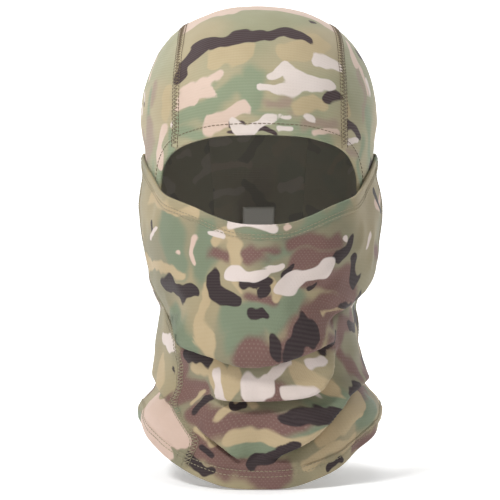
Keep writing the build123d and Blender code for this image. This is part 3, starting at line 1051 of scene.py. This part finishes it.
HOOD_EDGE = curve([(-107, -60), (-66, -50), (-45, -44), (-28, -38), (2, -31), (34, -30), (64, -40), (84, -55),
                   (140, -66)])
side_pieces = {}
seam_lines = {}
for side, word in ((-1, "right"), (1, "left")):
    turn = np.linspace(float(first[-1 if side > 0 else 0]), crown_far, 205)
    seam = crown_point(turn, np.full_like(turn, side))
    front = near_rim if side > 0 else near_rim[::-1]
    front = front[len(front) // 2:]
    start = int(np.argmin(np.linalg.norm(front - seam[0], axis=1)))
    front = resample(front[start:], 1.0)
    front[0] = seam[0]
    t = np.linspace(0, 1, 75)
    run = lengths(front) / lengths(front)[-1]
    leg = np.stack([np.interp(t, run, c) for c in front.T], axis=1)
    far_y = seam[-1, 1] - 2.0
    ys = leg[-1, 1] + (far_y - leg[-1, 1]) * np.linspace(0, 1, len(seam))
    zs = HOOD_EDGE(ys) + (leg[-1, 2] - HOOD_EDGE(leg[-1, 1])) * (1 - np.linspace(0, 1, len(seam))) ** 3
    bottom = from_side(ys, zs, side)
    grid = across(seam[:, None], bottom[:, None], np.broadcast_to(t[None], (len(seam), len(t))))
    fix = leg - grid[0]
    fade = (1 - np.linspace(0, 1, len(seam))[:, None, None]) ** 5
    grid = lie(on_head(grid + fade * fix[None]))
    name = f"hood_side_cloth_{word}"
    side_pieces[word] = shell_piece(name, grid, on_side(grid), hood_knit, hood_inside)
    seam_lines[word] = seam

# the hem round the eye opening
hem_rows = beside_rim(np.linspace(BROW_HEM, 0.9, 9))
hem_rows = lie(hem_rows)
rings = hem_shell(hem_rows, head_normal(hem_rows), HEM, (1.6,))
flat = rings.reshape(-1, 3)
turns = np.degrees(np.arctan2(flat[:, 2] - 20, 2 - flat[:, 1]))
near_crown = np.abs(flat[:, 0]) < CROWN_WIDTH(np.clip(turns, 0, 60))
from_crown = on_crown(turns, flat[:, 0] / CROWN_WIDTH(np.clip(turns, 0, 60)))
from_sides = on_side(flat)
hem_values = {key: np.where(near_crown[:, None] if value.ndim > 1 else near_crown, from_crown[key], value)
              for key, value in from_sides.items()}
opening_hem = tube_piece("eye_opening_hem", rings, hem_values, hood_knit)
row = lie(beside_rim([BROW_HEM - 1.6]))[0]
hem_stitches = threads("eye_opening_stitches",
                       [running_stitch(row, head_normal(row), 2.8, 2.3, THREAD, STITCH_LIFT)], hood_thread)

# crown seams run on across the hem to its free edge
seam_pieces = {}
seam_threads = {}
for side, word in ((-1, "right"), (1, "left")):
    line = seam_lines[word]
    edge = line[0] + unit(line[0] - line[3]) * (PANEL_START - 1.2)
    line = resample(np.vstack([on_head(edge[None]), line]), 0.75)
    n = head_normal(line)
    way = unit(np.cross(np.gradient(line, axis=0), n))
    way *= np.sign(way[len(way) // 3, 0]) or 1.0
    bed = on_head(line[:, None] + way[:, None] * (SHARES * SEAM / 2)[None, :, None])
    bed = lie(bed)
    normals = head_normal(bed)
    climb = (1 - smooth(lengths(line), BROW_HEM - 2.0, BROW_HEM + 0.5)) * (HEM - KNIT) / 2
    bed = bed + normals * climb[:, None, None]
    tape = seam_tape(bed, normals)
    turn = np.degrees(np.arctan2(bed[..., 2] - 20, 2 - bed[..., 1])) % 360
    values = on_crown(turn, bed[..., 0] / CROWN_WIDTH(turn))
    for key, value in values.items():
        value = value.reshape(bed.shape[:2] + value.shape[1:])
        both = np.concatenate([value, value[:, ::-1]], axis=1)
        values[key] = both.reshape((-1,) + value.shape[2:])
    seam_pieces[word] = tube_piece(f"crown_seam_tape_{word}", tape, values, hood_knit)
    seam_threads[word] = threads(f"crown_seam_threads_{word}", [flatlock(bed, normals)], hood_thread)
    on_the_hood(seam_threads[word], "seam_thread")

on_the_hood(crown_piece, "hood_knit", "crown_panel")
on_the_hood(opening_hem, "hood_knit", "face_opening_hem")
on_the_hood(hem_stitches, "seam_thread")
for word in ("right", "left"):
    on_the_hood(side_pieces[word], "hood_knit", f"hood_side_{word}")
    on_the_hood(seam_pieces[word], "seam_thread", f"crown_seam_{word}")


# ---- the collar and its face cover ---------------------------------------------------------------
def right_seam(z):
    return np.radians(RIGHT_SEAM(z))


def left_seam(z):
    return np.radians(LEFT_SEAM(z))


def round_again(z):
    return right_seam(z) + 2 * math.pi


def collar_grid(start, end, top, bottom, columns, rows):
    """Angles and heights of a grid between two seams and two heights, all of them curves."""
    u = np.linspace(0, 1, columns)[None, :]
    v = np.asarray(rows, float)[:, None]
    z = 0 - 150 * v + 0 * u
    for _ in range(14):
        angle = start(z) * (1 - u) + end(z) * u
        z = 0.4 * z + 0.6 * (top(angle) * (1 - v) + bottom(angle) * v)
    return angle, z


def cover_edge(angle, down):
    return edge_z(angle, COVER_EDGE) - down


def bottom_edge(angle, up):
    return edge_z(angle, BOTTOM_EDGE) + up


def collar_values(angle, z, layers, seed):
    """Print of the collar cloth at angles that may count on past the middle of the back."""
    return printed(to_girth(angle), z, layers, seed)


collar_rows = np.linspace(0, 1, 118)
panels = {
    "front": (right_seam, left_seam, 210, front_layers, 3),
    "back": (left_seam, round_again, 170, back_layers, 4),
}
collar_pieces = {}
collar_goes_with = {"front": [], "back": []}
for word, (start, end, columns, layers, seed) in panels.items():
    a, z = collar_grid(start, end, lambda q: cover_edge(q, COVER_HEM - 3),
                       lambda q: bottom_edge(q, BOTTOM_HEM - 3), columns, collar_rows)
    collar_pieces[word] = shell_piece(f"collar_{word}_cloth", collar_at(a, z),
                                      collar_values(a, z, layers, seed), collar_knit, collar_inside)

    # its share of the top and bottom hems, with their rows of stitches
    parts = []
    for place, edge, wide, count, stitched in (("top", cover_edge, COVER_HEM, 9, (1.3, 3.4)),
                                               ("bottom", bottom_edge, BOTTOM_HEM, 11, (1.3, 4.6))):
        a, z = collar_grid(start, end, lambda q: edge(q, wide), lambda q: edge(q, 0.9),
                           columns * 3 // 2, np.linspace(0, 1, count))
        rows = collar_at(a, z)
        rings = hem_shell(rows, outward(rows), HEM, stitched, HEM_PITCH)
        ring_a, ring_z = (np.concatenate([c, np.repeat(c[-1:], len(HEM_TURN), axis=0), c[::-1]]).T
                          for c in (a, z))
        collar_pieces[f"{word}_{place}"] = tube_piece(
            f"collar_{word}_{place}_hem", rings, collar_values(ring_a, ring_z, layers, seed), collar_knit)
        for share in stitched:
            a, z = collar_grid(start, end, lambda q: edge(q, wide - share),
                               lambda q: edge(q, wide - share - 1), columns * 3 // 2, (0, 1))
            rows = collar_at(a, z)
            parts.append(running_stitch(rows[0], outward(rows)[0], HEM_PITCH, 2.2, THREAD, STITCH_LIFT))
    stitches = threads(f"collar_{word}_stitches", parts, collar_thread)
    on_the_neck(stitches, "seam_thread")
    collar_goes_with[word] += [collar_pieces[word + "_top"], collar_pieces[word + "_bottom"], stitches]

for word, seam in (("right", right_seam), ("left", left_seam)):
    z_top, z_low = 24.0, -175.0
    for _ in range(20):
        z_top = float(cover_edge(seam(np.array([z_top])), 1.5)[0])
        z_low = 0.5 * z_low + 0.5 * float(bottom_edge(seam(np.array([z_low])), 1.0)[0])
    z = np.arange(z_top, z_low, -0.75)[:, None] + 0 * SHARES[None, :]
    reach_round = to_angle(SHARES * SEAM / 2) - to_angle(0.0)
    a = seam(z) + reach_round[None, :]
    bed = collar_at(a, z)
    normals = outward(bed)
    from_top, to_bottom = lengths(bed[:, 4]), lengths(bed[:, 4])[-1] - lengths(bed[:, 4])
    climb = 1 - smooth(np.minimum(from_top - COVER_HEM, to_bottom - BOTTOM_HEM), -1.5, 1.0)
    bed = bed + normals * (climb * (HEM - KNIT) / 2)[:, None, None]
    tape = seam_tape(bed, normals)
    ring_a = np.concatenate([a, a[:, ::-1]], axis=1)
    ring_z = np.concatenate([z, z[:, ::-1]], axis=1)
    piece = tube_piece(f"collar_seam_tape_{word}", tape,
                       collar_values(ring_a, ring_z, front_layers, 3), collar_knit)
    on_the_neck(piece, "seam_thread", f"side_seam_{word}")
    stitches = threads(f"collar_seam_threads_{word}", [flatlock(bed, normals)], collar_thread)
    on_the_neck(stitches, "seam_thread")
    collar_goes_with["back"] += [piece, stitches]

for key, *nodes in (("front", "front_panel"), ("back", "back_panel"), ("front_top", "face_hem"),
                    ("back_top", "nape_hem"), ("front_bottom", "bottom_hem"), ("back_bottom",)):
    on_the_neck(collar_pieces[key], "collar_knit", *nodes)

# the blank care label inside the nape
low, high = (np.array(corner) * 1000 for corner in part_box("care_label"))
along, up = np.meshgrid(np.linspace(low[0], high[0], 12), np.linspace(high[2], low[2], 22))
curl = 0.7 * ((high[2] - up) / (high[2] - low[2])) ** 2
depth = (low[1] + high[1]) / 2 - curl - 0.25 * np.sin((along - low[0]) / (high[0] - low[0]) * math.pi)
label = make_mesh("blank_label", np.stack([along, depth, up], axis=-1), grid_faces(22, 12), thickness=0.4)
label.data.materials.append(label_cloth)
label.data.materials.append(label_cloth)
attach(label, "hood")
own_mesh(label)
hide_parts("care_label")


# ---- floor, light and camera ---------------------------------------------------------------------
scene = bpy.context.scene
floor_z = min((piece.matrix_world @ Vector(corner)).z for piece in scene.objects
              if piece.name.startswith("collar_") for corner in piece.bound_box) - 0.0004

profile = [(-2.5, 0.0), (-1.0, 0.0), (0.6, 0.0), (1.2, 0.0)]
profile += [(1.2 + 0.8 * math.sin(a), 0.8 - 0.8 * math.cos(a)) for a in np.linspace(0.1, math.pi / 2, 14)]
profile += [(2.0, 1.6), (2.0, 3.2)]
cove_points = [(x, y * 1000, floor_z * 1000 + z * 1000) for y, z in profile for x in (-3500, 3500)]
cove = make_mesh("cove", cove_points, grid_faces(len(profile), 2))
paper = Nodes("glowing_cove_paper")
paper.shader.inputs["Base Color"].default_value = (0.93, 0.93, 0.93, 1)
paper.shader.inputs["Roughness"].default_value = 0.9
paper.shader.inputs["Specular IOR Level"].default_value = 0.1
# The paper glows as painted light. The glow is weakest on the floor in front of the mask and strongest on the
# floor and wall behind it, so it lights the mask's back and sides and keeps the floor near white.
paper.shader.inputs["Emission Color"].default_value = (1, 1, 1, 1)
place = paper.tree.nodes.new("ShaderNodeSeparateXYZ")
paper.link(paper.tree.nodes.new("ShaderNodeTexCoord").outputs["Object"], place.inputs[0])
paper.link(paper.ramp(place.outputs[1], -0.15, 0.7, 0.22, 0.75), paper.shader.inputs["Emission Strength"])
cove.data.materials.append(paper.material)


MIDDLE = Vector((0.0, 0.0, -0.04))


def soft_box(name, place, size, watts):
    """A square area light that shines at the middle of the mask."""
    light = bpy.data.lights.new(name, "AREA")
    light.energy = watts
    light.size = size
    lamp = bpy.data.objects.new(name, light)
    lamp.location = place
    lamp.rotation_euler = (MIDDLE - Vector(place)).to_track_quat("-Z", "Y").to_euler()
    scene.collection.objects.link(lamp)


soft_box("key", (-0.70, -0.90, 1.00), 0.30, 16.0)
soft_box("fill", (0.1, -1.5, 0.20), 0.9, 3.0)
soft_box("top", (0.05, -0.15, 1.4), 0.6, 5.5)
soft_box("behind_right", (-0.9, 1.0, 0.7), 0.8, 5)
soft_box("behind_left", (1.0, 0.8, 0.6), 0.8, 6)

world = bpy.data.worlds.new("studio")
world.use_nodes = True
world.node_tree.nodes["Background"].inputs["Color"].default_value = (1, 1, 1, 1)
world.node_tree.nodes["Background"].inputs["Strength"].default_value = 0.10
scene.world = world
scene.view_settings.view_transform = "Standard"
scene.view_settings.look = "None"

CAMERA_AWAY, FRAME_WIDTH = 1.15, 0.325
camera = bpy.data.objects.new("camera", bpy.data.cameras.new("camera"))
camera.data.sensor_width = 36
camera.data.lens = 36 * CAMERA_AWAY / FRAME_WIDTH
camera.location = (-0.0059, -CAMERA_AWAY, -0.041)
camera.rotation_euler = (math.pi / 2, 0, 0)
camera.data.clip_start = 0.05
scene.collection.objects.link(camera)
scene.camera = camera
